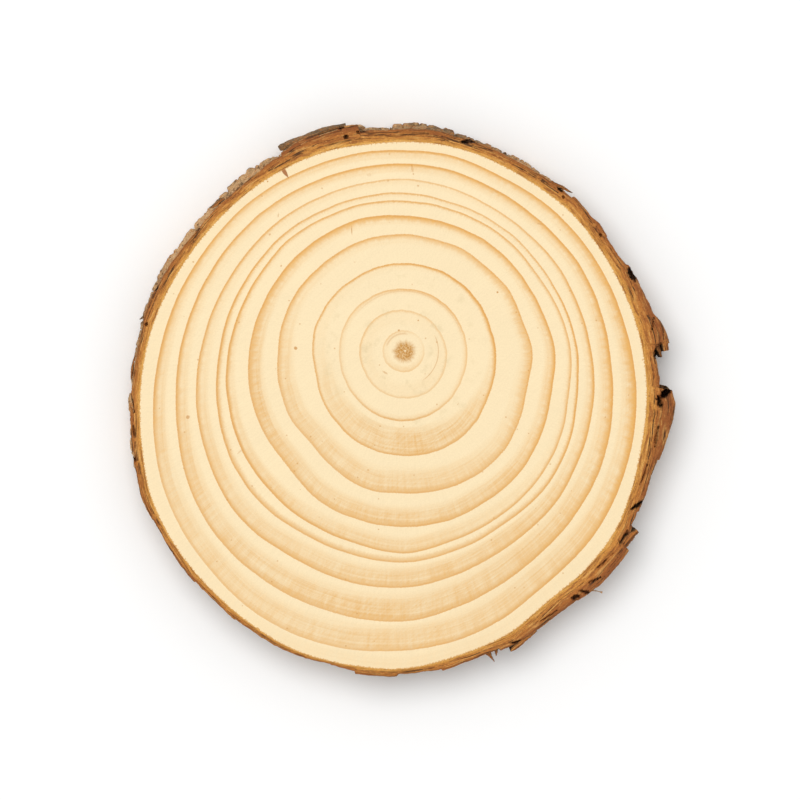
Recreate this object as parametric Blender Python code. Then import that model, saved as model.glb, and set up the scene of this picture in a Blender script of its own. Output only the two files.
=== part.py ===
"""Wood slice: one crosswise cut through a young pine trunk, with its bark left on.

Metres, +Z up. Both sawn faces are level, and the origin lies on the lower one, at the middle of
the slice's box. Bearings are in degrees, counter-clockwise from +X, and are taken at the pith,
which sits off centre because the trunk grew faster on one side.
"""

from math import atan2, cos, degrees, exp, floor, radians, sin, sqrt

import bmesh
import bpy
from mathutils import Vector, noise

MM = 0.001

THICKNESS = 10.0 * MM

# Radius of the wood from the pith in mm, at even steps of bearing that start at 0 degrees
WOOD_RADII = (
    49.9, 47.7, 46.0, 44.9, 43.9, 43.8, 43.7, 44.1,
    45.2, 46.4, 48.1, 50.7, 53.8, 57.1, 60.8, 63.3,
    65.1, 66.6, 66.2, 64.1, 60.2, 58.4, 55.3, 52.2,
)

# Each scale of bark runs from one bearing to the next scale's. Its thickness in mm is given at
# its two ends, and the last value is how far its foot stands out at the lower face, in mm.
BARK_SCALES = (
    (-1.0, 5.5, 4.6, 0.0),
    (8.5, 4.2, 3.5, 0.0),
    (21.5, 2.6, 2.8, 0.0),
    (43.0, 2.8, 2.3, 0.2),
    (53.0, 2.3, 2.3, -0.4),
    (77.5, 2.6, 2.8, 0.1),
    (94.0, 2.8, 3.0, -0.9),
    (101.5, 4.5, 3.6, -0.7),
    (116.0, 3.2, 2.8, 1.1),
    (122.0, 2.9, 2.7, -0.4),
    (127.0, 2.4, 1.9, 0.5),
    (140.0, 1.9, 2.0, 0.2),
    (154.0, 2.1, 2.9, -0.3),
    (171.0, 2.4, 1.9, -0.2),
    (189.0, 2.2, 2.6, 0.1),
    (203.0, 2.1, 1.6, 0.0),
    (217.0, 1.2, 1.2, 0.0),
    (236.0, 1.0, 0.5, 0.0),
    (256.0, 0.5, 0.9, 0.0),
    (261.2, 1.4, 1.5, 0.0),
    (269.0, 0.9, 1.8, 0.0),
    (288.5, 3.2, 3.8, 0.0),
    (305.0, 3.9, 4.5, 0.0),
    (322.5, 2.5, 2.6, 0.0),
    (326.0, 3.0, 4.2, 0.0),
    (338.0, 4.5, 6.1, 0.0),
    (351.5, 2.4, 2.6, 0.0),
)

# The trunk was cut at a slant, so the lower face lies a little to one side of the upper one
LEAN = 1.5 * MM
LEAN_BEARING = 120.0

# The joints between scales are shallow furrows that wander sideways down the edge
FURROW_DEPTH = 0.45 * MM
FURROW_WIDTH = 1.6
FURROW_WANDER = 1.5
FURROW_WANDERS_ROUND = 5
THIN_BARK_SHARE = 0.3

# Uneven surface of the bark: its depth, and lumps per metre round the trunk and up it
LUMP_DEPTH = 0.3 * MM
LUMPS_ROUND = 260.0
LUMPS_UP = 120.0

SEGMENTS = 240
LAYERS = 8
CREASE_ANGLE = 35.0

WOOD_COLOUR = (0.95, 0.78, 0.50, 1.0)
WOOD_ROUGHNESS = 0.7
BARK_COLOUR = (0.30, 0.13, 0.05, 1.0)
BARK_ROUGHNESS = 0.85


def wood_radius(bearing):
    """Radius of the wood, as a smooth closed curve through the given radii."""
    count = len(WOOD_RADII)
    place = bearing / 360.0 * count
    first = floor(place)
    along = place - first
    before, start, end, after = (WOOD_RADII[(first + step) % count] for step in (-1, 0, 1, 2))
    slope_start = (end - before) / 2.0
    slope_end = (after - start) / 2.0
    rise = end - start
    square = 3.0 * rise - 2.0 * slope_start - slope_end
    cube = slope_start + slope_end - 2.0 * rise
    return MM * (start + along * (slope_start + along * (square + along * cube)))


def share_below(height):
    """0 at the upper face and 1 at the lower one."""
    return max(0.0, 1.0 - height / THICKNESS)


def lean_offset(bearing, height):
    """How far the slant of the cut carries a point outwards at a height above the lower face."""
    return LEAN * share_below(height) * cos(radians(bearing - LEAN_BEARING))


def scale_at(bearing):
    """The bark scale at a bearing: its values, its width, and how far along it the bearing is."""
    first_bearing = BARK_SCALES[0][0]
    turned = (bearing - first_bearing) % 360.0 + first_bearing
    index = max(i for i, scale in enumerate(BARK_SCALES) if scale[0] <= turned)
    scale = BARK_SCALES[index]
    if index + 1 < len(BARK_SCALES):
        end_bearing = BARK_SCALES[index + 1][0]
    else:
        end_bearing = first_bearing + 360.0
    return scale, end_bearing - scale[0], turned - scale[0]


def bark_thickness(bearing, height):
    """Thickness of the bark, with its furrows and lumps, at a point on the outer edge."""
    below = share_below(height)
    wander = FURROW_WANDER * below * sin(radians(FURROW_WANDERS_ROUND * bearing))
    (_, thick_start, thick_end, foot), width, along = scale_at(bearing + wander)
    thickness = MM * (thick_start + (thick_end - thick_start) * along / width + foot * below)
    to_furrow = min(along, width - along)
    furrow = FURROW_DEPTH * exp(-((to_furrow / FURROW_WIDTH) ** 2)) * sqrt(below)
    across = wood_radius(bearing) * LUMPS_ROUND
    spot = Vector((across * cos(radians(bearing)), across * sin(radians(bearing)), height * LUMPS_UP))
    relief = furrow + LUMP_DEPTH * below * (1.0 + noise.noise(spot)) / 2.0
    return thickness - min(relief, THIN_BARK_SHARE * thickness)


def make_material(name, colour, roughness):
    """A plain Principled material."""
    material = bpy.data.materials.new(name)
    material.use_nodes = True
    shader = material.node_tree.nodes["Principled BSDF"]
    shader.inputs["Base Color"].default_value = colour
    shader.inputs["Roughness"].default_value = roughness
    shader.inputs["Metallic"].default_value = 0.0
    material.diffuse_color = colour
    return material


def place(vert, radius):
    """Move a vertex out or in along its bearing."""
    bearing = atan2(vert.co.y, vert.co.x)
    vert.co.x = radius * cos(bearing)
    vert.co.y = radius * sin(bearing)


def make_slice():
    """A layered disc whose edge follows the bark, with a loop where bark meets wood on each face."""
    bm = bmesh.new()
    bmesh.ops.create_cone(
        bm, cap_ends=True, segments=SEGMENTS, radius1=max(WOOD_RADII) * MM,
        radius2=max(WOOD_RADII) * MM, depth=THICKNESS,
    )
    bmesh.ops.translate(bm, vec=(0.0, 0.0, THICKNESS / 2.0), verts=bm.verts)
    upright = [edge for edge in bm.edges if abs(edge.verts[0].co.z - edge.verts[1].co.z) > MM]
    bmesh.ops.subdivide_edges(bm, edges=upright, cuts=LAYERS - 1, use_grid_fill=True)
    outer_verts = set(bm.verts)
    caps = [face for face in bm.faces if len(face.verts) == SEGMENTS]
    bmesh.ops.inset_individual(bm, faces=caps, thickness=MM, use_even_offset=True)
    for vert in bm.verts:
        bearing = degrees(atan2(vert.co.y, vert.co.x))
        radius = wood_radius(bearing) + lean_offset(bearing, vert.co.z)
        if vert in outer_verts:
            radius += bark_thickness(bearing, vert.co.z)
        place(vert, radius)
    for face in bm.faces:
        face.material_index = 0 if len(face.verts) == SEGMENTS else 1
    low = Vector(min(vert.co[axis] for vert in bm.verts) for axis in range(3))
    high = Vector(max(vert.co[axis] for vert in bm.verts) for axis in range(3))
    middle = (low + high) / 2.0
    bmesh.ops.translate(bm, vec=(-middle.x, -middle.y, 0.0), verts=bm.verts)
    return bm


def build():
    """Clear the scene and model the slice in its own collection."""
    for obj in list(bpy.data.objects):
        bpy.data.objects.remove(obj)
    collection = bpy.data.collections.new("wood_slice")
    bpy.context.scene.collection.children.link(collection)
    mesh = bpy.data.meshes.new("wood_slice")
    mesh.materials.append(make_material("sawn_pine", WOOD_COLOUR, WOOD_ROUGHNESS))
    mesh.materials.append(make_material("pine_bark", BARK_COLOUR, BARK_ROUGHNESS))
    bm = make_slice()
    bm.to_mesh(mesh)
    bm.free()
    mesh.shade_smooth()
    mesh.set_sharp_from_angle(angle=radians(CREASE_ANGLE))
    collection.objects.link(bpy.data.objects.new("wood_slice", mesh))


build()
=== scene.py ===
from functools import lru_cache
from math import atan2, ceil, cos, degrees, exp, floor, radians, sin

import bmesh
import bpy
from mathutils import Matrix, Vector, noise


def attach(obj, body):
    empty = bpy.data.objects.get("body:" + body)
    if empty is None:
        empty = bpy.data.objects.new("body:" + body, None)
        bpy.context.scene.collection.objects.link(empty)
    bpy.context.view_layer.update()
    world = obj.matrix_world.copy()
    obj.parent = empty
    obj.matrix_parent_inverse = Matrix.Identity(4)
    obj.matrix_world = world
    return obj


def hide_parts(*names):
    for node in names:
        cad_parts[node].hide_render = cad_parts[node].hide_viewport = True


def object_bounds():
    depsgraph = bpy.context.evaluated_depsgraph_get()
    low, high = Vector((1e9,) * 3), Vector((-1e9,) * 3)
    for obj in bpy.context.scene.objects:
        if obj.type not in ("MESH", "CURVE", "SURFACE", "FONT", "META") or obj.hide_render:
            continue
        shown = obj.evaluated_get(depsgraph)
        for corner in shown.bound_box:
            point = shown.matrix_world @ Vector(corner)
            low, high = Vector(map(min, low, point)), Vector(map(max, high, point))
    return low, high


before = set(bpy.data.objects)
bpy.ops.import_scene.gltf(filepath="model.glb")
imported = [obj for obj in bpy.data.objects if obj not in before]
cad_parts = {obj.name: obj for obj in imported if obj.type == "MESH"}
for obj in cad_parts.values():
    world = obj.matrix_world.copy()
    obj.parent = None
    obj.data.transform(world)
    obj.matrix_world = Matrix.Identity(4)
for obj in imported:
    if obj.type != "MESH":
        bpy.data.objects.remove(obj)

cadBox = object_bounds()
mm = 0.001
weldDistance = 0.0002 * mm
creaseAngle = 50  # degrees; a sharper bend than this is shaded as an edge

# The trunk's growth. Bearings are degrees counter-clockwise from +X, taken at the pith.
trunk = {
    "pith": (0.65, 10.07),  # mm from the middle of the CAD box
    "thickness": (cadBox[1].z - cadBox[0].z) / mm,
    "lean": 1.5,  # mm that the slanted cut carries the lower face sideways
    "leanBearing": 120,
    "wood": (  # mm from the pith to the bark, every 10 degrees
        49.9, 48.35, 47.0, 46.0, 45.3, 44.4, 43.9, 43.85, 43.8,
        43.7, 43.8, 44.6, 45.2, 46.0, 46.9, 48.1, 49.7, 51.7,
        53.8, 55.8, 58.1, 60.8, 62.5, 63.8, 65.1, 66.3, 66.4,
        66.2, 64.5, 62.9, 60.2, 59.2, 57.8, 55.3, 53.1, 51.5,
    ),
}

# Each year's outer edge, in mm from the pith at even bearings, then its dark wood: how dark and how
# many mm wide the crisp line is, and the soft haze inside it in the same way. The bearings start at 0
# and share the round evenly, and a lone value holds all round. The last year ends at the bark.
years = [
    {"edge": (4.4,), "line": (0.12, 0.1, 0.25, 0.3, 0.22, 0.3, 0.3, 0.22), "lineWidth": (0.45,),
     "haze": (0.1, 0.02, 0.1, 0.12, 0.1, 0.2, 0.25, 0.2), "hazeWidth": (1.2,)},
    {"edge": (9.05, 8.6, 8.55, 8.65, 8.95, 9.15, 9.3, 9.3, 9.75, 9.9, 10.0, 9.55),
     "line": (0.3, 0.32, 0.36, 0.42, 0.42, 0.34, 0.32, 0.3), "lineWidth": (0.55,),
     "haze": (0.08, 0.05, 0.05, 0.08, 0.08, 0.1, 0.1, 0.1), "hazeWidth": (3.0,)},
    {"edge": (13.3, 13.1, 13.1, 13.05, 13.3, 13.5, 13.5, 13.75, 14.35, 14.65, 14.3, 13.7),
     "line": (0.3, 0.6, 0.55, 0.4, 0.3, 0.5, 0.75, 0.4), "lineWidth": (0.55,),
     "haze": (0.2, 0.2, 0.15, 0.15, 0.12, 0.12, 0.2, 0.15), "hazeWidth": (1.1,)},
    {"edge": (19.3, 18.8, 18.75, 18.6, 18.55, 18.4, 18.4, 18.4, 18.4, 18.6, 18.85, 19.15,
              19.1, 19.0, 19.8, 20.4, 21.15, 21.6, 21.85, 22.0, 21.8, 21.15, 20.2, 19.7),
     "line": (0.95, 1.1, 0.85, 0.75, 0.7, 0.7, 0.72, 0.68), "lineWidth": (0.8, 0.55, 0.55, 0.6),
     "haze": (0.12, 0.08, 0.08, 0.08, 0.12, 0.4, 0.58, 0.45), "hazeWidth": (1.5, 1.5, 3.0, 5.5)},
    {"edge": (26.9, 25.6, 25.5, 24.65, 24.6, 24.25, 24.4, 24.6, 24.7, 24.9, 25.5, 25.95,
              26.2, 26.95, 27.4, 27.3, 28.55, 29.8, 29.65, 30.0, 30.0, 29.5, 28.1, 26.8),
     "line": (0.72, 0.72, 0.68, 0.8, 0.68, 0.55, 0.7, 0.7), "lineWidth": (1.5, 0.9, 0.95, 1.2),
     "haze": (0.2, 0.12, 0.12, 0.15, 0.28, 0.42, 0.45, 0.25), "hazeWidth": (2.6, 2.0, 3.0, 4.5)},
    {"edge": (31.6, 30.15, 29.35, 28.95, 28.45, 28.2, 28.3, 28.95, 29.3, 29.8, 30.35, 31.2,
              32.2, 33.2, 33.75, 34.1, 35.8, 36.4, 36.65, 36.5, 35.7, 34.95, 33.45, 32.0),
     "line": (0.85, 0.85, 1.0, 0.9, 0.8, 0.65, 0.75, 0.8), "lineWidth": (1.0, 1.0, 1.2, 1.1),
     "haze": (0.3, 0.22, 0.22, 0.28, 0.45, 0.5, 0.5, 0.4), "hazeWidth": (2.2, 1.8, 2.7, 3.6)},
    {"edge": (34.9, 33.5, 32.2, 31.8, 31.45, 31.3, 31.4, 31.95, 32.4, 33.45, 34.05, 35.15,
              36.6, 38.1, 39.45, 40.3, 40.9, 41.3, 42.15, 40.8, 39.9, 38.9, 37.5, 35.7),
     "line": (0.6, 0.65, 0.78, 0.75, 1.05, 1.0, 0.75, 0.68), "lineWidth": (0.7, 0.5, 0.75, 0.75),
     "haze": (0.1, 0.1, 0.1, 0.12, 0.2, 0.4, 0.4, 0.15), "hazeWidth": (1.2, 1.0, 1.6, 3.0)},
    {"edge": (36.35, 34.95, 33.8, 33.3, 32.8, 32.7, 33.1, 33.4, 33.95, 35.0, 35.8, 37.1,
              38.5, 40.4, 42.3, 43.5, 43.5, 43.75, 44.05, 43.0, 41.7, 41.2, 39.6, 37.5),
     "line": (0.95, 0.6, 0.72, 0.75, 1.0, 0.78, 0.72, 0.8), "lineWidth": (0.55, 0.45, 0.75, 1.0),
     "haze": (0.1, 0.1, 0.1, 0.1, 0.15, 0.2, 0.2, 0.15), "hazeWidth": (1.2,)},
    {"edge": (39.2, 37.75, 36.75, 35.7, 35.3, 35.55, 35.95, 36.1, 36.7, 37.8, 38.8, 40.4,
              42.4, 44.75, 46.8, 48.75, 48.8, 49.35, 49.3, 47.7, 46.0, 44.75, 42.8, 41.0),
     "line": (0.85, 0.6, 0.5, 0.72, 0.8, 0.8, 0.7, 0.8), "lineWidth": (0.85, 0.4, 0.85, 1.0),
     "haze": (0.18, 0.08, 0.1, 0.12, 0.18, 0.4, 0.5, 0.4), "hazeWidth": (1.8, 1.4, 2.2, 3.8)},
    {"edge": (43.0, 41.75, 40.55, 39.3, 38.8, 39.05, 39.1, 39.45, 40.15, 41.35, 42.75, 44.5,
              46.7, 49.15, 52.4, 54.9, 56.0, 56.4, 56.3, 54.0, 51.5, 49.6, 47.65, 45.1),
     "line": (0.95, 0.9, 0.95, 0.8, 0.95, 0.65, 0.65, 0.9), "lineWidth": (1.15, 0.7, 0.9, 1.4),
     "haze": (0.35, 0.28, 0.3, 0.25, 0.22, 0.5, 0.55, 0.42), "hazeWidth": (2.6, 1.8, 2.2, 4.8)},
    {"edge": (47.5, 45.45, 43.95, 42.8, 41.8, 41.93, 41.95, 42.45, 43.25, 44.65, 46.1, 48.3,
              50.85, 54.05, 57.7, 60.3, 62.6, 63.3, 62.4, 60.6, 57.2, 55.3, 52.8, 50.2),
     "line": (1.05, 0.88, 0.95, 0.78, 1.0, 0.4, 0.6, 1.0), "lineWidth": (1.4, 0.6, 0.95, 1.0),
     "haze": (0.42, 0.25, 0.3, 0.28, 0.3, 0.42, 0.45, 0.42), "hazeWidth": (2.8, 1.8, 2.2, 4.8)},
    {"edge": None, "line": (0.0,), "lineWidth": (0.5,),
     "haze": (0.04, 0.04, 0.03, 0.03, 0.03, 0.05, 0.15, 0.06), "hazeWidth": (2.5,)},
]


def roundCurve(values, bearing):
    # a smooth closed curve through values that stand at even bearings from 0
    count = len(values)
    place = bearing / 360 * count
    first = floor(place)
    along = place - first
    before, start, end, after = (values[(first + step) % count] for step in (-1, 0, 1, 2))
    slopeStart = (end - before) / 2
    slopeEnd = (after - start) / 2
    rise = end - start
    square = 3 * rise - 2 * slopeStart - slopeEnd
    cube = slopeStart + slopeEnd - 2 * rise
    return start + along * (slopeStart + along * (square + along * cube))


def clamp(value, low=0.0, high=1.0):
    return min(high, max(low, value))


def ease(value, low, high):
    # 0 below low, 1 above high and a soft step between; low may be the larger
    share = clamp((value - low) / (high - low))
    return share * share * (3 - 2 * share)


def ripple(bearing, lumps, height=0.0, seed=0.0):
    # noise from -1 to 1 that closes round the trunk; lumps is how many fit in a radian
    angle = radians(bearing)
    return noise.noise(Vector((lumps * cos(angle), lumps * sin(angle), height + 17.3 * seed)))


@lru_cache(maxsize=None)
def woodEdge(bearing):
    return roundCurve(trunk["wood"], bearing) + 0.05 * ripple(bearing, 40, seed=1)


@lru_cache(maxsize=None)
def yearEdges(bearing):
    # the pith, then every year's outer edge; the last one is where the bark starts
    grown = [
        roundCurve(year["edge"], bearing) + 0.12 * ripple(bearing, 8, number * 0.7, 2)
        + 0.04 * ripple(bearing, 45, number * 1.3, 12)
        for number, year in enumerate(years) if year["edge"]
    ]
    return [0.0] + grown + [woodEdge(bearing)]


def leanAt(bearing, height):
    below = 1 - height / trunk["thickness"]
    return trunk["lean"] * below * cos(radians(bearing - trunk["leanBearing"]))


def standing(bearing, radius, height):
    # a point of the slice, in metres, from bearing, mm from the pith and mm above the floor
    angle = radians(bearing)
    return Vector((
        (trunk["pith"][0] + radius * cos(angle)) * mm,
        (trunk["pith"][1] + radius * sin(angle)) * mm,
        height * mm,
    ))


def toned(names):
    # an empty mesh whose vertices will carry named values
    bm = bmesh.new()
    return bm, [bm.verts.layers.float.new(name) for name in names]


def sheet(bm, columns, rows):
    # a grid to be wrapped round something: each new vertex with its column and row
    made = bmesh.ops.create_grid(bm, x_segments=columns, y_segments=rows, size=0.5)["verts"]
    return [(round((v.co.x + 0.5) * columns), round((v.co.y + 0.5) * rows), v) for v in made]


def makePiece(name, bm, material):
    bmesh.ops.remove_doubles(bm, verts=bm.verts, dist=weldDistance)
    bmesh.ops.recalc_face_normals(bm, faces=bm.faces)
    for face in bm.faces:
        face.smooth = True
    mesh = bpy.data.meshes.new(name)
    bm.to_mesh(mesh)
    bm.free()
    mesh.set_sharp_from_angle(angle=radians(creaseAngle))
    mesh.materials.append(material)
    piece = bpy.data.objects.new(name, mesh)
    bpy.context.scene.collection.objects.link(piece)
    print(name, len(mesh.polygons), "faces")
    return piece


class Feed:
    # an output of a material's node, so that sums over a surface read as Python
    def __init__(self, mix, socket):
        self.mix = mix
        self.socket = socket

    def sum(self, operation, *values):
        return self.mix.node("ShaderNodeMath", {"operation": operation}, values)

    def __add__(self, other):
        return self.sum("ADD", self, other)

    def __radd__(self, other):
        return self.sum("ADD", other, self)

    def __sub__(self, other):
        return self.sum("SUBTRACT", self, other)

    def __rsub__(self, other):
        return self.sum("SUBTRACT", other, self)

    def __mul__(self, other):
        return self.sum("MULTIPLY", self, other)

    def __rmul__(self, other):
        return self.sum("MULTIPLY", other, self)

    def __truediv__(self, other):
        return self.sum("DIVIDE", self, other)


class Finish:
    # one material's nodes
    def __init__(self, name):
        self.material = bpy.data.materials.new(name)
        self.material.use_nodes = True
        self.nodes = self.material.node_tree.nodes
        self.links = self.material.node_tree.links
        self.shader = self.nodes["Principled BSDF"]

    def node(self, kind, settings=None, values=(), output=0):
        made = self.nodes.new(kind)
        for key, value in (settings or {}).items():
            setattr(made, key, value)
        for place, value in values.items() if isinstance(values, dict) else enumerate(values):
            if isinstance(value, Feed):
                self.links.new(value.socket, made.inputs[place])
            else:
                made.inputs[place].default_value = value
        return Feed(self, made.outputs[output])

    def plug(self, name, value):
        if isinstance(value, Feed):
            self.links.new(value.socket, self.shader.inputs[name])
        else:
            self.shader.inputs[name].default_value = value

    def vector(self, operation, *values, output=0):
        return self.node("ShaderNodeVectorMath", {"operation": operation}, values, output)

    def scaled(self, vector, factor):
        return self.node("ShaderNodeVectorMath", {"operation": "SCALE"}, {0: vector, "Scale": factor})

    def step(self, value, low, high):
        # 0 at low, 1 at high, with soft ends; low may be the larger
        settings = {"interpolation_type": "SMOOTHSTEP", "clamp": True}
        return self.node("ShaderNodeMapRange", settings, (value, low, high, 0.0, 1.0))

    def noise(self, vector, scale=1.0, detail=2.0, roughness=0.5):
        values = {"Vector": vector, "Scale": scale, "Detail": detail, "Roughness": roughness}
        return self.node("ShaderNodeTexNoise", {"noise_dimensions": "3D"}, values)

    def blend(self, share, first, second):
        settings = {"data_type": "RGBA", "clamp_factor": True}
        values = {0: share}
        for place, colour in ((6, first), (7, second)):
            values[place] = colour if isinstance(colour, Feed) else (*colour, 1)
        return self.node("ShaderNodeMix", settings, values, 2)

    def attribute(self, name):
        return self.node("ShaderNodeAttribute", {"attribute_name": name}, output="Fac")

    def fromPith(self):
        # the place, then seen from the pith: mm across the slice, how far, and the ray's direction
        place = self.node("ShaderNodeTexCoord", output="Object")
        pith = (trunk["pith"][0] * mm, trunk["pith"][1] * mm, 0)
        away = self.vector("SUBTRACT", place, pith)
        flat = self.vector("MULTIPLY", away, (1 / mm, 1 / mm, 0))
        return place, flat, self.vector("LENGTH", flat, output="Value"), self.vector("NORMALIZE", flat)

    def along(self, ray, lumps, third):
        # noise space round the trunk: so many lumps per mm at 50 mm out, and a third direction
        return self.vector("ADD", self.scaled(ray, 50.0 * lumps), self.upright(third))

    def upright(self, value):
        return self.node("ShaderNodeCombineXYZ", values={2: value})

    def relief(self, height, strength, distance):
        values = {"Strength": strength, "Distance": distance, "Height": height}
        self.plug("Normal", self.node("ShaderNodeBump", values=values))


pineLook = {
    "cream": (0.850, 0.688, 0.432),
    "lateWarm": (0.715, 0.385, 0.100),  # dark wood of the narrow side
    "lateDull": (0.700, 0.400, 0.130),  # and of the wide side
    "lateCore": (0.60, 0.255, 0.065),  # the last, darkest cells of a year
    "pith": (0.54, 0.262, 0.050),
    "pithDark": (0.34, 0.135, 0.030),
    "resin": (0.50, 0.200, 0.020),
    "bast": (0.62, 0.315, 0.080),  # the soft layer between the wood and the bark
    "ingrown": (0.35, 0.125, 0.030),  # bark caught in the wood
    "smoke": (0.65, 0.515, 0.29),  # dull smudges round the pith
    "roughness": 0.62,
    "fineRays": 2.7,  # lumps per mm, at 50 mm out
    "broadRays": 0.8,
    "grit": 3.2,  # grains per mm
    "sawTurn": -42,  # degrees that the saw marks are turned
    "sawMarks": (0.07, 2.1, 0),  # marks per mm, along their run and across it
    "pores": 0.42,  # resin pores per mm
    "pithCentre": (0.2, -0.12, 0),  # mm, the middle of the pith's stain
    "pithFleck": (0.35, 0.0, 0),  # mm, the pale fleck in it
    "bump": 0.15,
    "bumpDepth": 0.2 * mm,
}

# Thin arcs of false rings near the pith: mm from it, middle bearing, half span, width and tone.
pineArcs = [(7.25, -15, 46, 0.16, 0.4), (3.65, 120, 48, 0.26, 0.3), (12.5, 80, 70, 0.2, 0.16)]

# Small marks in the sawn face: bearing, mm from the pith, length along the ray, width, turn in
# degrees, how strong.
pineMarks = [
    (178.4, 22.5, 0.75, 0.75, 0, 0.75),
    (197.0, 47.0, 0.9, 0.8, 30, 0.6),
    (32.1, 23.1, 0.45, 0.45, 0, 0.75),
    (103.0, 4.45, 0.4, 0.5, 0, 0.7),
    (64.6, 7.1, 0.4, 0.4, 0, 0.6),
    (229.0, 5.9, 0.45, 1.3, 10, 0.4),
    (43.1, 38.8, 0.4, 1.1, 30, 0.3),
    (128.7, 45.3, 0.35, 0.35, 0, 0.8),
    (138.9, 37.0, 0.4, 0.5, 0, 0.5),
    (157.0, 47.6, 0.45, 0.4, 0, 0.5),
    (145.1, 31.1, 0.4, 0.5, 0, 0.5),
    (132.7, 38.5, 0.3, 0.9, 40, 0.4),
    (113.3, 27.3, 1.9, 0.22, -20, 0.65),
    (87.3, 38.1, 1.7, 0.55, 12, 0.35),
    (101.0, 37.4, 0.7, 1.1, 0, 0.16),
    (85.0, 34.6, 0.4, 0.5, 0, 0.5),
    (211.5, 40.0, 1.5, 0.35, 10, 0.3),
    (253.0, 20.5, 0.35, 0.35, 0, 0.5),
    (262.0, 37.5, 0.35, 0.35, 0, 0.5),
    (239.0, 51.0, 0.4, 0.4, 0, 0.4),
]

# A sliver of bark that grew into the wood: mm from the pith at its tip, its length and its width.
barkInclusion = {"bearing": 123.6, "tip": 43.1, "length": 1.7, "width": 0.9}


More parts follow.
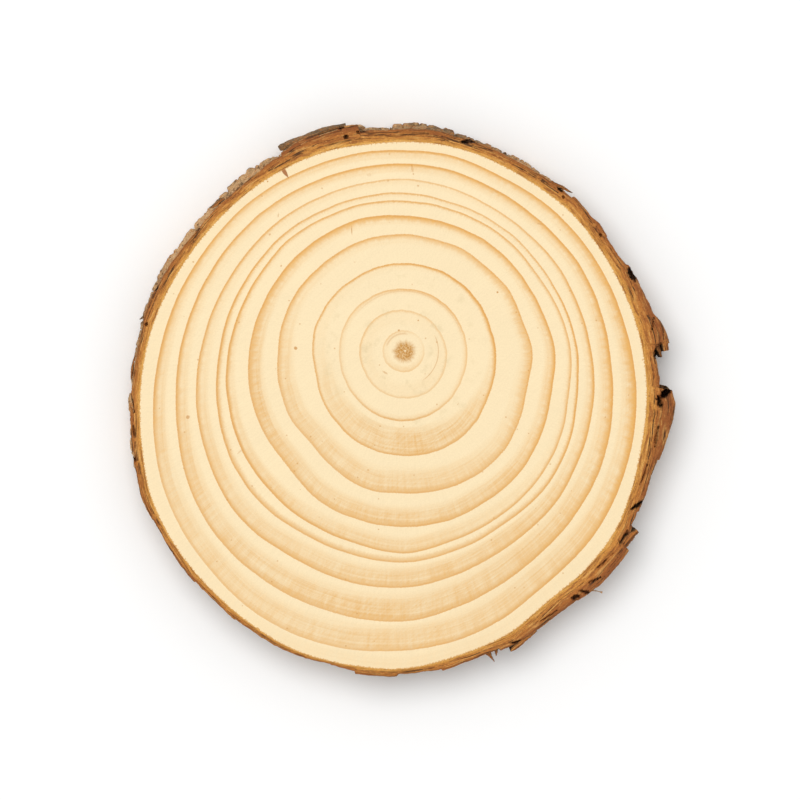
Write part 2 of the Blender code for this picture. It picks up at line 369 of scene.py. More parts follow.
def pineFinish():
    look = pineLook
    pine = Finish("sawn_pine")
    flat, radius, ray = pine.fromPith()[1:]
    clear = pine.step(radius, 1.0, 6.0)  # keeps the rays out of the pith
    fineRays = pine.noise(pine.along(ray, look["fineRays"], radius * 0.3), roughness=0.7) - 0.5
    broadRays = pine.noise(pine.along(ray, look["broadRays"], radius * 0.1), detail=1.0) - 0.5
    grit = pine.noise(flat, look["grit"], 2.0, 0.7) - 0.5
    cloud = pine.noise(flat, 0.1, 2.0) - 0.5
    patches = pine.noise(flat, 0.3, 4.0, 0.65)
    turn = {"Vector": flat, "Angle": radians(look["sawTurn"])}
    turned = pine.node("ShaderNodeVectorRotate", {"rotation_type": "Z_AXIS"}, turn)
    sawn = pine.noise(pine.vector("MULTIPLY", turned, look["sawMarks"]), roughness=0.7) - 0.5

    wavy = pine.attribute("age") + fineRays * clear * 0.05
    back = (1 - wavy.sum("FRACT", wavy)) * pine.attribute("yearWidth")  # mm inwards from the year's end
    bands = pine.noise(pine.along(ray, 0.03, back * 1.7), detail=3.0, roughness=0.65) - 0.5
    ragged = back + fineRays * 0.8 + broadRays * 0.4 + sawn * 0.3 + grit * 0.3
    inLine = 1 - pine.step(ragged / (pine.attribute("lineWidth") * (1 + broadRays)), 0.3, 1.5)
    core = pine.step(ragged - 0.3 * fineRays, 0.55, 0.12)  # the darkest, last cells of the year
    inLine = (0.84 * inLine + 0.3 * core) * (0.3 + 0.7 * pine.step(back + grit * 0.4, -0.03, 0.2))
    wideSide = pine.attribute("wideSide")
    inHaze = 1 - pine.step(ragged / (pine.attribute("hazeWidth") * (1 + 0.1 * wideSide)), 0.6, 1.25)
    line = inLine * pine.attribute("line") * (1.1 + 1.3 * fineRays + 0.8 * sawn + 0.8 * grit)
    uneven = 0.95 + 0.04 * wideSide + cloud + 2.6 * bands + broadRays + 1.2 * fineRays + 1.3 * sawn
    haze = inHaze * pine.attribute("haze") * uneven
    late = line + haze - line * haze

    warm = pine.blend(late, look["cream"], look["lateWarm"])
    dull = pine.blend(late, look["cream"], look["lateDull"])
    colour = pine.blend(wideSide, warm, dull)
    colour = pine.blend(core * line * 0.3, colour, look["lateCore"])

    # two smudged belts of early wood, then the pith
    near = pine.step(radius, 4.5, 6.0) * pine.step(radius, 11.0, 8.0)
    far = pine.step(radius, 13.5, 14.5) * pine.step(radius, 18.0, 16.5)
    smudge = pine.step(patches, 0.50, 0.68) * (near + far * 0.6)
    colour = pine.blend(smudge * 0.5, colour, look["smoke"])
    centre = pine.vector("SUBTRACT", flat, look["pithCentre"])
    spread = pine.vector("LENGTH", centre, output="Value")
    teeth = pine.noise(pine.along(pine.vector("NORMALIZE", centre), 0.13, spread * 0.4), detail=2.0)
    mottle = pine.noise(flat, 2.3, 3.0, 0.7)
    stain = 1 - pine.step(spread + (teeth - 0.5) * 1.4 + (mottle - 0.5) * 1.6, 1.3, 2.8)
    fleck = 1 - pine.step(pine.vector("DISTANCE", flat, look["pithFleck"], output="Value"), 0.12, 0.4)
    colour = pine.blend(stain * (3 * mottle - 0.62) - fleck * 0.6, colour, look["pith"])
    darkest = pine.step(mottle + 0.4 * teeth, 0.72, 0.88) * stain * (1 - fleck)
    colour = pine.blend(darkest * 0.75, colour, look["pithDark"])

    faint = 0.0
    for out, bearing, span, width, tone in pineArcs:
        off = radius + grit * 0.15 - out
        angle = radians(bearing)
        facing = pine.vector("DOT_PRODUCT", ray, (cos(angle), sin(angle), 0), output="Value")
        reach = pine.step(facing, cos(radians(span)), cos(radians(span * 0.7)))
        faint = faint + pine.step(off.sum("ABSOLUTE", off), width, width * 0.2) * reach * tone
    colour = pine.blend(faint, colour, look["resin"])

    marks = 0.0
    for bearing, out, length, width, turn, strong in pineMarks:
        angle, lie = radians(bearing), radians(bearing + turn)
        spot = pine.vector("SUBTRACT", flat, (out * cos(angle), out * sin(angle), 0))
        lengthwise = (cos(lie) * 2 / length, sin(lie) * 2 / length, 0)
        crosswise = (-sin(lie) * 2 / width, cos(lie) * 2 / width, 0)
        u = pine.vector("DOT_PRODUCT", spot, lengthwise, output="Value")
        v = pine.vector("DOT_PRODUCT", spot, crosswise, output="Value")
        marks = marks + (1 - pine.step(u * u + v * v + grit, 0.3, 1.4)) * strong
    cells = {"Vector": flat, "Scale": look["pores"]}
    pores = pine.node("ShaderNodeTexVoronoi", values=cells)
    kind = pine.node("ShaderNodeTexVoronoi", values=cells, output="Color")
    chance = pine.vector("DOT_PRODUCT", kind, (1, 0, 0), output="Value") + late * 0.5
    marks = marks + (1 - pine.step(pores, 0.05, 0.1)) * pine.step(chance, 0.6, 0.85) * 0.45
    colour = pine.blend(marks, colour, look["resin"])

    lie = radians(barkInclusion["bearing"])
    along = pine.vector("DOT_PRODUCT", flat, (cos(lie), sin(lie), 0), output="Value")
    off = pine.vector("DOT_PRODUCT", flat, (-sin(lie), cos(lie), 0), output="Value")
    tip = barkInclusion["tip"]
    widening = pine.step(along, tip - 0.3, tip + barkInclusion["length"])
    half = widening * barkInclusion["width"] / 2 + grit * 0.25
    sliver = pine.step(half - off.sum("ABSOLUTE", off), -0.03, 0.12) * pine.step(along, tip, tip + 0.4)
    colour = pine.blend(sliver * 0.95, colour, look["ingrown"])

    # the thin line of bast that borders the bark
    joint = pine.step(back + grit * 1.2 + fineRays * 0.7, 0.22, 0.05)
    joint = joint * pine.step(pine.attribute("age"), len(years) - 0.6, len(years) - 0.4)
    colour = pine.blend(joint * 0.85, colour, look["bast"])

    shade = 0.99 + 0.17 * grit + 0.09 * fineRays * clear + 0.05 * cloud + 0.07 * sawn
    pine.plug("Base Color", pine.scaled(colour, shade))
    pine.plug("Roughness", look["roughness"] - 0.06 * late)
    pine.plug("Specular IOR Level", 0.3)
    pine.relief(grit + 0.6 * fineRays * clear + 0.6 * sawn, look["bump"], look["bumpDepth"])
    return pine.material


barkLook = {
    "golden": (0.65, 0.325, 0.070),
    "inner": (0.56, 0.235, 0.048),
    "middle": (0.44, 0.160, 0.034),
    "outer": (0.255, 0.078, 0.022),
    "thread": (0.76, 0.42, 0.125),
    "crack": (0.060, 0.026, 0.012),
    # painted shade: the near black put into holes, furrows and under chips
    "paintedShadeColour": (0.026, 0.014, 0.008),
    "moss": (0.150, 0.092, 0.042),
    "ash": (0.33, 0.20, 0.090),
    "straw": (0.60, 0.37, 0.175),
    "roughness": 0.85,
    "bump": 0.6,
    "bumpDepth": 0.4 * mm,
}


def barkFinish():
    look = barkLook
    bark = Finish("pine_bark")
    place, flat, radius, ray = bark.fromPith()
    point = bark.scaled(place, 1 / mm)
    layer = bark.attribute("layer")  # mm across the layers, from the wood outwards
    pale = bark.attribute("pale")

    # the cut bark: bands of colour along its layers, with threads and splits
    drift = bark.noise(bark.along(ray, 0.12, radius * 0.1), detail=2.0)
    wavy = layer + (drift - 0.5) * 1.8
    streaks = bark.noise(bark.along(ray, 0.2, wavy * 1.7), detail=3.0, roughness=0.6) - 0.5
    fibres = bark.noise(bark.along(ray, 0.7, wavy * 4.5), detail=3.0, roughness=0.65) - 0.5
    seams = bark.noise(bark.along(ray, 0.05, wavy * 1.1 + 40), detail=2.0) - 0.5
    blotch = bark.noise(point, 0.5, 3.0, 0.6)
    crumbs = bark.noise(point, 3.4, 3.0, 0.7) - 0.5

    colour = bark.blend(bark.step(layer + fibres * 1.6, 0.2, 0.9), look["golden"], look["inner"])
    colour = bark.blend(bark.step(layer + (blotch - 0.5) * 2.4, 1.0, 2.2), colour, look["middle"])
    outerPlate = bark.step(layer + streaks * 3.0, 2.2, 3.6)
    colour = bark.blend(outerPlate * 0.85, colour, look["outer"])
    colour = bark.blend(bark.step(streaks, -0.02, -0.13) * 0.7, colour, look["outer"])
    colour = bark.blend(bark.step(streaks, 0.04, 0.16) * (0.65 - 0.3 * outerPlate), colour, look["thread"])
    colour = bark.blend(bark.step(fibres, -0.05, -0.18) * 0.75, colour, look["outer"])
    colour = bark.blend(bark.step(fibres, 0.06, 0.2) * (0.6 - 0.25 * outerPlate), colour, look["thread"])
    split = bark.step(seams.sum("ABSOLUTE", seams), 0.036, 0.010)
    split = split * bark.step(blotch + streaks, 0.38, 0.52) * bark.step(layer, 0.6, 1.4)
    cutColour = bark.blend(split * 0.9, colour, look["crack"])

    # the weathered side
    ribs = bark.noise(bark.vector("MULTIPLY", point, (1.1, 1.1, 0.3)), 1.0, 4.0, 0.7)
    scurf = bark.noise(bark.vector("MULTIPLY", point, (2.6, 2.6, 1.3)), 1.0, 3.0, 0.7)
    hair = bark.noise(bark.vector("MULTIPLY", point, (4.5, 4.5, 0.7)), 1.0, 2.0, 0.6)
    skin = bark.blend(bark.step(blotch + (pale - 0.5) * 0.35, 0.36, 0.62), look["moss"], look["ash"])
    skin = bark.blend(bark.step(ribs + (pale - 0.5) * 0.6, 0.48, 0.74), skin, look["straw"])
    skin = bark.blend(bark.step(scurf + (blotch - 0.5) * 0.8, 0.53, 0.64) * 0.75, skin, look["middle"])
    skin = bark.blend(bark.step(hair, 0.46, 0.3) * 0.6, skin, look["outer"])
    skin = bark.blend(bark.step(ribs, 0.44, 0.32) * 0.8, skin, look["crack"])
    colour = bark.blend(bark.attribute("cut"), skin, cutColour)
    # painted shade: the hollow tone darkens holes, furrows and the hidden sides of chips towards near
    # black
    colour = bark.blend(bark.attribute("hollow"), colour, look["paintedShadeColour"])
    bark.plug("Base Color", bark.scaled(colour, 1.02 + 1.1 * crumbs))
    bark.plug("Roughness", look["roughness"] + 0.1 * crumbs)
    bark.plug("Specular IOR Level", 0.2)
    bark.relief(crumbs + streaks + 0.8 * fibres - split, look["bump"], look["bumpDepth"])
    return bark.material


woodDisc = {
    "steps": 480,
    "loops": (0.2, 0.45, 0.7, 0.87, 1.0),  # shares of each year's width
    "rim": 0.03,  # mm, the bevel at the edge of each face
    "sideLoops": 3,
    "lateRise": 0.015,  # mm that the dark wood stands proud of the pale
    "pithDip": 0.05,  # mm that the pith is sunk, and how far out that reaches
    "pithReach": 1.2,
}


@lru_cache(maxsize=None)
def yearLook(year, bearing):
    look = years[year]
    return [roundCurve(look[name], bearing) for name in ("line", "lineWidth", "haze", "hazeWidth")]


def makeWood(material):
    disc = woodDisc
    tall = trunk["thickness"]
    last = len(years)
    ages = [0.0] + [year + loop for year in range(last) for loop in disc["loops"]]
    section = [(age, tall, True) for age in ages]
    bands = disc["sideLoops"] + 1
    section += [(last, tall * (1 - step / bands), False) for step in range(1, bands)]
    section += [(age, 0.0, True) for age in reversed(ages)]
    bm, layers = toned(("age", "yearWidth", "line", "lineWidth", "haze", "hazeWidth", "wideSide"))
    for column, row, vert in sheet(bm, disc["steps"], len(section) - 1):
        age, height, onFace = section[row]
        bearing = column % disc["steps"] * 360 / disc["steps"]
        edges = yearEdges(bearing)
        year = min(ceil(age) - 1, last - 1) if age else 0
        share = age - year
        width = edges[year + 1] - edges[year]
        radius = edges[year] + width * share
        if onFace and age < last and height:
            dip = disc["pithDip"] * exp(-((radius / disc["pithReach"]) ** 2))
            height -= disc["lateRise"] * (1 - share ** 3) + dip
        if onFace and age == last:
            radius -= disc["rim"]
        wide = ease(-sin(radians(bearing + 25)), -0.1, 0.7)
        tones = (age - (0.0005 if share == 1 else 0), width, *yearLook(year, bearing), wide)
        for layer, tone in zip(layers, tones):
            vert[layer] = tone
        vert.co = standing(bearing, radius + leanAt(bearing, height), height)
    return makePiece("wood", bm, material)


# Scales of bark round the edge: where each starts, its thickness in mm at even steps to the next,
# and how far its foot stands out at the lower face.
barkScales = [
    (-1.0, (2.7, 3.0, 3.4), 0.0),
    (1.6, (5.8, 5.7, 5.4, 5.0, 4.1), 0.0),
    (8.6, (4.1, 3.8, 3.6, 3.6, 3.3), 0.0),
    (21.2, (3.0, 2.4, 2.5, 2.5), 0.0),
    (29.5, (2.7, 2.9, 2.6, 2.7, 2.9), 0.1),
    (42.3, (2.4, 2.3, 2.4, 2.4), 0.1),
    (48.5, (2.4, 2.3, 2.2), 0.3),
    (60.0, (2.2, 2.2, 2.3, 2.2), 0.1),
    (77.0, (2.4, 2.7, 2.7, 2.6), 0.3),
    (94.0, (2.5, 2.8, 3.0), -0.6),
    (101.4, (4.45, 4.35, 4.3, 4.15, 3.9, 3.2), -1.25),
    (122.0, (2.6, 2.7, 2.4), -0.1),
    (127.5, (2.3, 2.1, 1.9, 1.9), 0.5),
    (138.0, (1.9, 2.0, 1.9, 1.9), 0.3),
    (150.0, (1.9, 2.1, 2.3, 2.4), 0.2),
    (165.0, (2.5, 2.6, 2.4, 2.1), -0.1),
    (174.5, (1.9, 1.7, 1.7, 1.8), 0.1),
    (188.8, (1.9, 2.0, 2.0, 2.1, 2.1), 0.1),
    (203.0, (1.9, 1.9, 1.9, 1.5), 0.2),
    (214.0, (1.3, 1.2, 1.4, 1.5), 0.1),
    (228.0, (1.2, 1.1, 1.3), 0.0),
    (238.0, (1.1, 1.0, 0.8, 0.5), 0.0),
    (257.0, (0.7, 1.0), 0.0),
    (261.3, (1.6, 1.5, 1.5), 0.0),
    (269.0, (1.0, 1.2, 1.6), 0.0),
    (277.0, (2.0, 1.9, 1.7, 1.8), 0.0),
    (288.0, (2.3, 2.7, 3.2, 3.5, 3.6), 0.0),
    (305.0, (3.8, 4.4, 4.6, 4.6), 0.0),
    (318.6, (3.3, 2.9), 0.0),
    (322.6, (2.6, 2.6), 0.0),
    (325.6, (2.9, 3.2, 3.2, 3.8), 0.0),
    (337.0, (4.2, 4.8, 5.3, 5.8, 6.1, 5.2), 0.0),
    (351.8, (2.6, 2.8, 2.5, 2.5), 0.0),
]

# How pale the weathered skin is, every 15 degrees
barkPaleness = (
    0.4, 0.4, 0.5, 0.65, 0.65, 0.35, 0.6, 0.65, 0.7, 0.75, 0.9, 0.7,
    0.6, 0.8, 0.6, 0.5, 0.4, 0.5, 0.4, 0.4, 0.45, 0.35, 0.45, 0.35,
)

# Holes and cracks in the upper cut face: bearing, mm from the pith, length along the bark, width,
# turn from the bark's run in degrees, and depth.
barkHollows = [
    (0.8, 53.6, 2.6, 0.5, 12, 3.0),
    (-0.2, 52.6, 2.6, 0.7, 10, 3.5),
    (18.6, 50.15, 3.0, 1.25, -10, 3.5),
    (30.5, 47.6, 0.8, 0.6, 0, 1.0),
    (44.0, 46.2, 0.7, 0.5, 40, 0.8),
    (46.0, 47.0, 1.6, 0.7, 0, 2.5),
    (73.0, 45.7, 2.8, 0.8, -18, 2.5),
    (90.0, 46.4, 7.0, 0.35, 0, 0.8),
    (101.0, 46.6, 1.8, 0.45, 0, 1.0),
    (105.0, 46.25, 0.9, 0.8, 0, 1.6),
    (108.0, 48.4, 5.5, 0.45, 2, 2.2),
    (134.8, 48.4, 3.0, 0.45, 0, 1.2),
    (138.4, 48.6, 1.8, 0.5, 0, 1.2),
    (149.4, 49.9, 1.0, 0.8, 20, 1.6),
    (165.5, 53.2, 1.4, 0.8, 0, 1.8),
    (174.0, 53.9, 0.8, 0.7, 0, 1.2),
    (191.0, 57.6, 3.6, 0.6, 0, 1.5),
    (196.5, 58.6, 2.6, 0.45, 8, 0.9),
    (201.3, 60.3, 2.4, 0.6, 0, 1.5),
    (304.9, 62.5, 2.2, 0.75, 12, 1.8),
    (307.1, 62.9, 2.8, 0.5, 52, 1.4),
    (310.0, 62.2, 3.4, 0.3, 18, 0.9),
    (313.5, 60.6, 5.0, 0.3, 0, 0.8),
    (299.0, 62.9, 5.0, 0.3, -4, 0.7),
    (333.0, 56.3, 5.0, 0.3, -6, 0.8),
    (341.5, 55.6, 5.5, 0.35, -8, 1.0),
    (12.0, 52.6, 5.0, 0.35, 10, 1.0),
    (6.0, 52.2, 4.0, 0.3, 14, 0.8),
    (292.0, 65.1, 4.5, 0.5, 8, 1.5),
    (319.7, 60.2, 3.6, 0.75, -12, 2.0),
    (326.8, 58.4, 3.4, 0.7, 22, 2.2),
    (348.6, 54.5, 3.0, 0.8, -28, 3.0),
    (351.1, 55.3, 3.8, 1.3, 30, 4.5),
]

barkRing = {
    "steps": 1440,
    "acrossLoops": 17,
    "sideLoops": 24,
    "underLoops": 7,
    "tuck": 0.2,  # mm that the bark reaches in under the wood's rim
    "drop": 0.03,  # mm that the cut bark lies below the wood
    "tornDepth": 0.16,  # mm, torn fibres of the cut faces
    "ribDepth": 0.75,  # mm, furrows down the outer side
    "ribMean": 0.3,  # mm of them that stand out past the scale's outline
    "jointDepth": 0.6,  # mm, the furrow between two scales, and its half width
    "jointWidth": 0.5,
    "wander": 1.5,  # degrees that a joint strays down the side, and how many times round it does
    "wanders": 5,
    "drift": 2.6,  # degrees more, unevenly
    "ragged": (0.14, 0.07),  # mm, coarse and fine tears of the outline
    "thinShare": 0.45,  # the most of the bark's thickness that furrows take
}


@lru_cache(maxsize=None)
def scaleAt(bearing):
    # the scale's thickness at a bearing, its foot, and the degrees to its nearer joint
    first = barkScales[0][0]
    turned = (bearing - first) % 360 + first
    index = max(i for i, scale in enumerate(barkScales) if scale[0] <= turned)
    start, thick, foot = barkScales[index]
    end = barkScales[index + 1][0] if index + 1 < len(barkScales) else first + 360
    place = (turned - start) / (end - start) * (len(thick) - 1)
    cell = min(int(place), len(thick) - 2)
    here = thick[cell] + (thick[cell + 1] - thick[cell]) * (place - cell)
    return here, foot, min(turned - start, end - turned)


def fromBearing(bearing, other):
    # degrees from another bearing, from -180 to 180
    return (bearing - other + 180) % 360 - 180


@lru_cache(maxsize=None)
def hollowsNear(bearing):
    return [hollow for hollow in barkHollows if abs(fromBearing(bearing, hollow[0])) < 5]


def hollowAt(bearing, radius):
    # how deep, in mm, the holes and cracks are at a place of the upper face
    deepest = 0.0
    for at, out, length, width, turn, depth in hollowsNear(bearing):
        along, across = radians(fromBearing(bearing, at)) * radius, radius - out
        spin = radians(turn)
        u = (along * cos(spin) + across * sin(spin)) / (length / 2)
        v = (across * cos(spin) - along * sin(spin)) / (width / 2)
        edge = 0.8 * noise.noise(Vector((along * 2.1 + at, across * 2.1, out)))
        edge += 0.4 * noise.noise(Vector((along * 5.3 + at, across * 5.3, out)))
        deepest = max(deepest, depth * ease(u * u + v * v + edge, 1.3, 0.3))
    return deepest


def sideFurrow(bearing, radius, height, toJoint):
    # mm that the weathered side lies in from its highest ribs
    joint = barkRing["jointDepth"] * exp(-((toJoint * radius / 57.3 / barkRing["jointWidth"]) ** 2))
    ribs = abs(ripple(bearing, radius * 0.45, height * 0.14, 3))
    plates = 0.5 + 0.5 * ripple(bearing, radius * 0.24, height * 0.2, 4)
    steps = (floor(plates * 5) + ease(plates * 5 % 1, 0.65, 1.0)) / 5
    fine = 0.5 + 0.5 * ripple(bearing, radius * 1.8, height * 0.8, 5)
    clefts = 0.6 * (1 - ease(ribs, 0.0, 0.15))
    return joint + barkRing["ribDepth"] * (1 - steps + clefts) + 0.16 * fine


@lru_cache(maxsize=None)
def barkSkin(bearing, height):
    # outer radius of the bark, and how deep in a furrow that place lies
    ring = barkRing
    below = 1 - height / trunk["thickness"]
    wander = ring["wander"] * below * sin(radians(ring["wanders"] * bearing))
    wander += ring["drift"] * below * ripple(bearing, 14, height * 0.3, 6)
    thick, foot, toJoint = scaleAt(round(bearing + wander, 2))
    radius = woodEdge(bearing) + leanAt(bearing, height)
    furrow = sideFurrow(bearing, radius, height, toJoint)
    coarse, fine = ring["ragged"]
    ragged = coarse * ripple(bearing, radius * 0.5, height * 0.5, 7)
    ragged += fine * ripple(bearing, radius * 2.0, height, 8)
    weathered = ease(below, 0.0, 0.15)
    taken = (furrow - ring["ribMean"]) * weathered - ragged
    return radius + thick + foot * below - min(taken, ring["thinShare"] * thick), furrow * weathered


def tornDepth(bearing, layer):
    # mm of relief that the saw left along the bark's layers
    torn = ripple(bearing, 14, layer * 1.3, 9) + 0.6 * ripple(bearing, 40, layer * 3.0, 10)
    return barkRing["tornDepth"] * clamp(0.5 - torn)


# the hollow tone is painted shade: how much a place is darkened in colour as if shaded in a hole, a furrow
# or under a chip
barkTones = ("layer", "cut", "hollow", "pale")


def makeBark(material):
    ring = barkRing
    tall = trunk["thickness"]
    across, side, under = ring["acrossLoops"], ring["sideLoops"], ring["underLoops"]
    section = [(step / across, 1.0, 1.0) for step in range(across + 1)]  # share out, share up, cut
    section.insert(0, (-0.05, 1.0, 1.0))
    section[-1] = (1.0, 1.0, 0.3)
    section += [(1.0, 1 - step / side, 0.0) for step in range(1, side)]
    section += [(1 - step / under, 0.0, 1.0) for step in range(under + 1)]
    section += [(-0.05, 0.0, 1.0), (-0.05, 0.5, 1.0), section[0]]
    bm, layers = toned(barkTones)
    for column, row, vert in sheet(bm, ring["steps"], len(section) - 1):
        share, up, cut = section[row]
        bearing = column % ring["steps"] * 360 / ring["steps"]
        height = up * tall
        outer, furrow = barkSkin(bearing, height)
        pale = roundCurve(barkPaleness, bearing)
        inner = woodEdge(bearing) + leanAt(bearing, height)
        radius = inner + share * (outer - inner) - (ring["tuck"] if share <= 0 else 0)
        layer = 0.5 * (radius - inner) + 2.2 * share
        hollow = 0.0
        if up == 1:
            hollow = hollowAt(bearing, radius)
            chip = 0.3 * exp(-(((outer - radius) / 0.3) ** 2)) * (0.6 + 0.6 * ripple(bearing, 70, 0, 11))
            torn = tornDepth(bearing, layer) * ease(radius - inner, 0.05, 0.6)
            height -= ring["drop"] + torn + chip + hollow
            # painted shade: the holes and cracks of the upper face are darkened in colour, the deeper the
            # darker
            paintedShade = 0.85 * ease(hollow, 0.2, 2.2)
        elif up == 0:
            height += ring["drop"] + tornDepth(bearing, layer + 30) * ease(radius - inner, 0.05, 0.6)
            paintedShade = 0.0
        else:
            height -= up ** 2 * (ring["drop"] + 0.3 + hollowAt(bearing, outer))
            # painted shade: the weathered side is darkened in colour where it lies deep in a furrow
            paintedShade = 0.6 * ease(furrow, 0.75, 1.35)
        for attribute, value in zip(layers, (layer, cut, paintedShade, pale)):
            vert[attribute] = value
        vert.co = standing(bearing, radius, height)
    return makePiece("bark", bm, material)


# Loose chips and lifted scales of bark. Each is a bent plank that follows a path of points (bearing,
# mm from the pith, width in mm), from its foot to its top in mm above the lower face. Pale is how
# bleached its skin is, cut how much of its top shows sawn bark, and the shade value how much painted
# shade darkens the whole chip, as if it lay in a hollow.
barkChips = [
    # hook over a hollow
    {"path": ((49.0, 46.7, 0.8), (47.2, 47.1, 0.9), (45.4, 47.6, 0.65), (43.2, 48.2, 0.15)),
     "foot": 5.0, "top": 9.9, "pale": 0.5},
    # the big lifted scale, and the strip that it lifted from
    {"path": ((104.3, 48.35, 0.35), (107.5, 48.5, 0.6), (112.5, 48.6, 0.8), (117.5, 48.95, 1.1),
              (120.5, 49.15, 1.1), (121.6, 49.15, 0.6)),
     "foot": 3.0, "top": 9.6, "pale": 0.3, "cut": 0.25},
    {"path": ((106.5, 48.1, 0.35), (111.0, 48.15, 0.35), (115.0, 48.15, 0.35), (119.5, 47.75, 0.25)),
     "foot": 2.0, "top": 9.97, "pale": 1.0, "cut": 0.45},
    # brown flake at the upper left
    {"path": ((139.5, 48.95, 0.25), (140.4, 49.3, 0.6), (141.8, 49.45, 0.8), (143.5, 49.95, 0.12)),
     "foot": 5.5, "top": 9.7, "pale": 0.4},
    # nib, sliver and the two pale flakes of the left side
    {"path": ((171.6, 54.1, 0.6), (172.4, 54.6, 0.5), (173.1, 55.2, 0.12)),
     "foot": 6.0, "top": 9.6, "pale": 0.1, "cut": 0.1},
    {"path": ((180.9, 55.9, 0.15), (182.4, 56.35, 0.45), (184.2, 56.75, 0.65), (185.9, 57.0, 0.2)),
     "foot": 6.0, "top": 9.6, "pale": 0.4},
    {"path": ((188.7, 57.5, 0.35), (190.0, 57.8, 1.0), (192.0, 58.0, 1.1), (193.6, 58.0, 0.4)),
     "foot": 1.5, "top": 9.6, "pale": 1.1, "cut": 0.1},
    {"path": ((197.6, 59.5, 0.3), (199.0, 59.8, 0.8), (200.6, 60.1, 0.8), (201.6, 60.3, 0.2)),
     "foot": 3.0, "top": 9.5, "pale": 1.1, "cut": 0.1},
    # splinters at the lower edge
    {"path": ((285.5, 65.2, 1.3), (285.8, 65.9, 0.8), (286.0, 66.6, 0.4), (286.3, 67.6, 0.1)),
     "foot": 6.5, "top": 9.5, "pale": 0.4},
    {"path": ((287.3, 65.3, 0.8), (287.1, 65.9, 0.5), (286.9, 66.5, 0.1)),
     "foot": 7.0, "top": 9.4, "pale": 0.4},
    {"path": ((289.6, 66.5, 0.2), (290.4, 66.2, 0.9), (292.0, 65.6, 1.1), (294.0, 65.0, 0.7),
              (295.5, 64.6, 0.3)),
     "foot": 1.5, "top": 9.7, "pale": 0.4},
    # curled fibre
    {"path": ((308.0, 63.5, 0.25), (308.7, 64.15, 0.16), (309.1, 64.75, 0.15), (309.45, 65.3, 0.5)),
     "foot": 8.6, "top": 9.2, "pale": 0.9, "cut": 0.3},
    # knob at the end of the scale above it
    {"path": ((317.6, 61.2, 1.7), (319.6, 61.2, 1.9), (321.2, 61.3, 1.6), (322.5, 61.6, 0.9)),
     "foot": 0.8, "top": 9.9, "pale": 0.3},
    # prongs of the torn scale end at the right
    {"path": ((6.5, 53.2, 1.2), (4.0, 54.0, 1.6), (2.0, 54.5, 1.6), (0.1, 54.8, 1.25)),
     "foot": 1.0, "top": 9.9, "pale": 0.3},
    # this prong sits lower than the one beside it and is darkened all over with painted shade
    {"path": ((4.0, 52.6, 1.6), (2.0, 52.9, 1.5), (0.4, 53.3, 1.1), (-1.3, 53.9, 0.3)),
     "foot": 2.0, "top": 9.2, "pale": 0.2, "paintedShade": 0.45},
]

chipMake = {
    "length": 48,  # loops each way
    "width": 5,
    "outside": 14,
    "inside": 5,
    "ragged": (0.25, 0.15),  # mm, coarse and fine lumps of its sides
    "thinnest": 0.03,  # mm, half a chip's thickness at its thinnest
    "reliefShare": 0.8,  # of the ring's furrows
    "mostRaggedFoot": 1.6,  # mm
}


def chipPlace(path, share):
    # where the path is at a share of its length, in mm from the pith, with the width there
    place = share * (len(path) - 1)
    cell = min(int(place), len(path) - 2)
    near = [path[clamp(cell + step, 0, len(path) - 1)] for step in (-1, 0, 1, 2)]
    points = [(r * cos(radians(b)), r * sin(radians(b)), w) for b, r, w in near]
    t = place - cell
    weights = (
        (-t + 2 * t * t - t ** 3) / 2,
        (2 - 5 * t * t + 3 * t ** 3) / 2,
        (t + 4 * t * t - 3 * t ** 3) / 2,
        (-t * t + t ** 3) / 2,
    )
    return Vector(sum(w * p[axis] for w, p in zip(weights, points)) for axis in range(3))


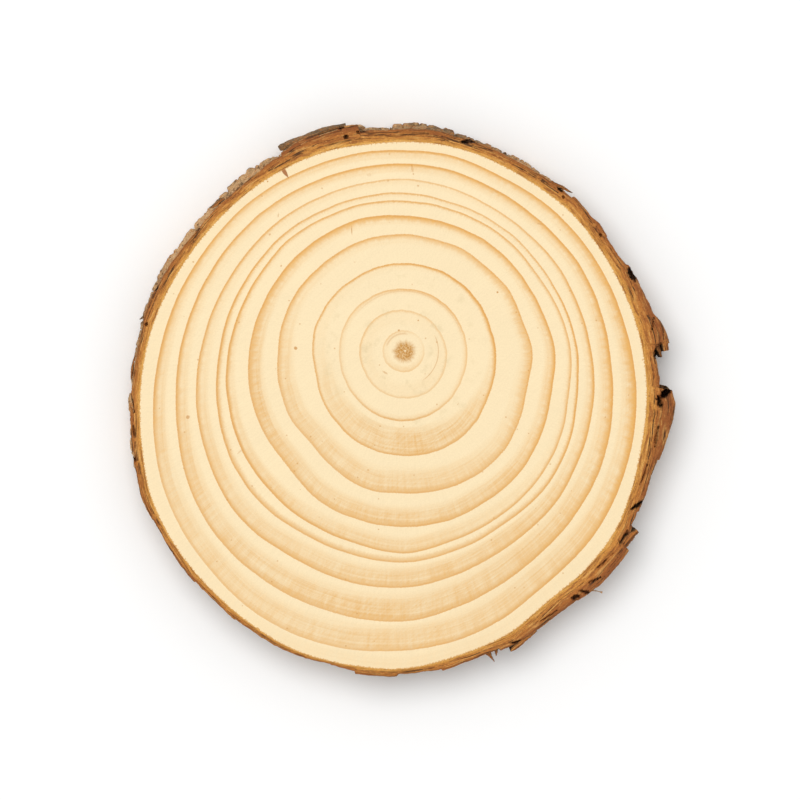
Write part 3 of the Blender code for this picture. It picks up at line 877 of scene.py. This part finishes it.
def makeChips(material):
    make = chipMake
    wide, outside, inside = make["width"], make["outside"], make["inside"]
    coarse, fine = make["ragged"]
    section = [(2 * step / wide - 1, 1.0) for step in range(wide)]
    section += [(1.0, 1 - step / outside) for step in range(outside)]
    section += [(1 - 2 * step / wide, 0.0) for step in range(wide)]
    section += [(-1.0, step / inside) for step in range(inside + 1)]
    count = make["length"]
    bm, layers = toned(barkTones)
    for number, chip in enumerate(barkChips):
        path, foot, top = chip["path"], chip["foot"], chip["top"]
        for column, row, vert in sheet(bm, count, len(section) - 1):
            out, up = section[row]
            closing = column in (0, count)
            along = clamp((column - 1) / (count - 2))
            here = chipPlace(path, along)
            ahead = chipPlace(path, min(along + 0.01, 1)) - chipPlace(path, max(along - 0.01, 0))
            normal = Vector((ahead.y, -ahead.x)).normalized()
            normal *= 1 if normal.dot(here.xy) > 0 else -1
            spot = Vector((along * 6 + number * 9, out * 0.7, up * 4))
            ragged = coarse * noise.noise(spot) + fine * noise.noise(spot * 3.1)
            half = here.z / 2 * (1 - 0.25 * (2 * up - 1) ** 4) + ragged * min(here.z, 0.7)
            half = max(half, make["thinnest"])
            if closing:
                out, up, half = 0.0, 0.5, 0.0
            height = foot + (top - foot) * up
            bearing = degrees(atan2(here.y, here.x))
            relief = sideFurrow(bearing, here.xy.length, height, 9) - barkRing["ribMean"]
            weathered = out == 1 and up < 1
            most = barkRing["thinShare"] * here.z
            taken = clamp(make["reliefShare"] * relief, 0, most) if weathered else 0.0
            spot = here.xy + normal * (out * half - taken)
            bearing = degrees(atan2(spot.y, spot.x))
            lift = min(make["mostRaggedFoot"], 0.2 * (top - foot))  # how ragged the foot is
            height += (1 - up) * lift * (1 + noise.noise(Vector((along * 5, number, 0))))
            worn = 0.15 * abs(out) ** 3 + 0.2 * abs(2 * along - 1) ** 4 + 0.6 * abs(ragged)
            height -= up * min(worn, lift)
            cut = chip.get("cut", 1.0) * (1.0 if abs(out) < 1 else 0.4) if up == 1 else 0.0
            # painted shade: a chip's inner side, which faces the bark, and its furrows are darkened in
            # colour, and so is all of a chip given a shade value
            paintedShade = max(chip.get("paintedShade", 0.0), 0.5 if out == -1 and up < 1 else 0.0, taken)
            for layer, tone in zip(layers, (2.8 + out, cut, paintedShade, chip["pale"])):
                vert[layer] = tone
            vert.co = standing(bearing, spot.length + leanAt(bearing, height), height)
    return makePiece("bark_chips", bm, material)


woodMaterial = pineFinish()
barkMaterial = barkFinish()
wood = makeWood(woodMaterial)
bark = makeBark(barkMaterial)
chips = makeChips(barkMaterial)
for piece, slot in ((wood, "wood"), (bark, "bark"), (chips, "bark")):
    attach(piece, "root")
    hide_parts("wood_slice")
print("slice made")

studio = {
    "floorSize": 3.0,  # metres from the middle to a side
    "floorGap": 0.05 * mm,
    "floorColour": (0.90, 0.90, 0.895, 1),
    "skyStrength": 0.76,
    "keyPlace": (-0.30, 0.45, 1.5),
    "keySize": 1.3,
    "keyPower": 12.6,
    "lens": 500.0,
    "sensor": 36.0,
    "span": 0.16667,  # metres of the upper face that the view takes in
    "aim": (-0.0001, -0.0001),
}


def makeStudio():
    bm = bmesh.new()
    bmesh.ops.create_grid(bm, x_segments=1, y_segments=1, size=studio["floorSize"])
    bmesh.ops.translate(bm, vec=(0, 0, -studio["floorGap"]), verts=bm.verts)
    paper = Finish("studio_floor")
    paper.plug("Base Color", studio["floorColour"])
    paper.plug("Roughness", 0.9)
    makePiece("floor", bm, paper.material)

    world = bpy.data.worlds.new("studio")
    bpy.context.scene.world = world
    world.use_nodes = True
    sky = world.node_tree.nodes["Background"]
    sky.inputs["Color"].default_value = (1, 1, 1, 1)
    sky.inputs["Strength"].default_value = studio["skyStrength"]

    key = bpy.data.lights.new("key", "AREA")
    key.shape = "DISK"
    key.size = studio["keySize"]
    key.energy = studio["keyPower"]
    lamp = bpy.data.objects.new("key", key)
    lamp.location = studio["keyPlace"]
    lamp.rotation_euler = (-Vector(studio["keyPlace"])).to_track_quat("-Z", "Y").to_euler()
    bpy.context.scene.collection.objects.link(lamp)

    camera = bpy.data.cameras.new("camera")
    camera.lens = studio["lens"]
    camera.sensor_width = studio["sensor"]
    holder = bpy.data.objects.new("camera", camera)
    distance = studio["span"] * studio["lens"] / studio["sensor"]
    holder.location = (*studio["aim"], cadBox[1].z + distance)
    bpy.context.scene.collection.objects.link(holder)
    bpy.context.scene.camera = holder
    bpy.context.scene.view_settings.view_transform = "Standard"


makeStudio()
print("studio ready")
